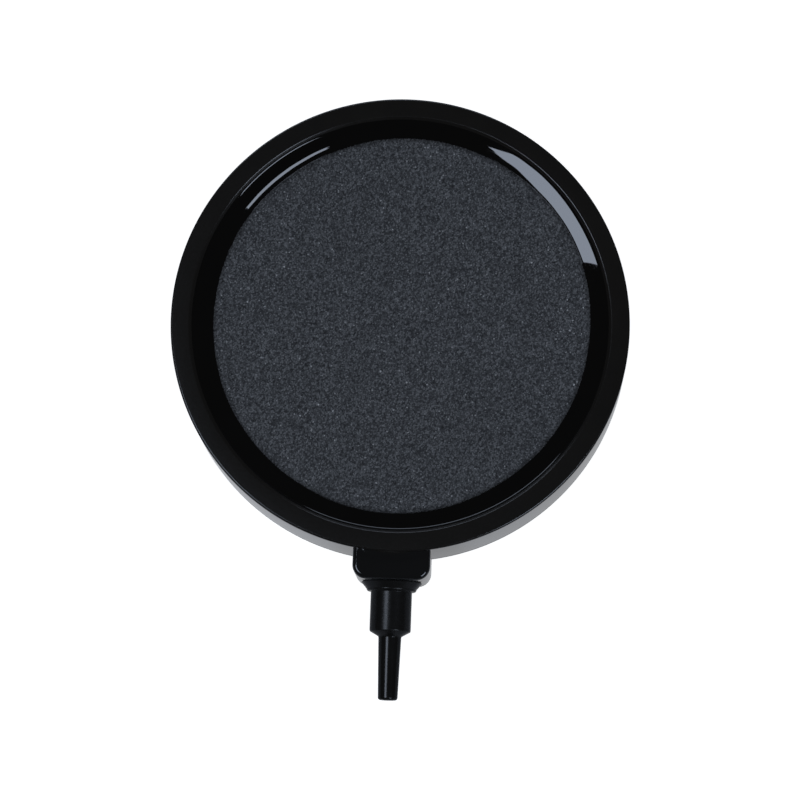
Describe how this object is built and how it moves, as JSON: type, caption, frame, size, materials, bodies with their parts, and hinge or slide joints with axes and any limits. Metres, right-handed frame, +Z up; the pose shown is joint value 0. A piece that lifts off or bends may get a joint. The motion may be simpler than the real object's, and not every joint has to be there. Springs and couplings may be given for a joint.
{
  "type": "air stone",
  "caption": "Round flat air stone: a porous grit disc set in a black plastic housing with a stepped hose nozzle on one side.",
  "frame": {"origin": "middle of the flat ring that the disc stands on, on the disc's axis", "axes": "+Z up along the disc's axis, out through the stone; -Y along the inlet nozzle, towards the hose; +X to the right as seen from the nozzle's side"},
  "size_m": [0.1009, 0.132, 0.02],
  "materials": {
    "housing_plastic": "polished black moulding, satin on top of the rim",
    "base_plastic": "satin black moulding",
    "porous_stone": "sintered dark grey grit, open pores",
    "black_epoxy": "cast, high gloss",
    "nozzle_plastic": "polished black moulding",
    "solvent_cement": "set film"
  },
  "bodies": {
    "root": {"housing_shell": "housing_plastic", "base_plate": "base_plastic", "porous_stone": "porous_stone", "stone_epoxy": "black_epoxy", "inlet_nozzle": "nozzle_plastic", "nozzle_bond": "solvent_cement"}
  },
  "joints": []
}
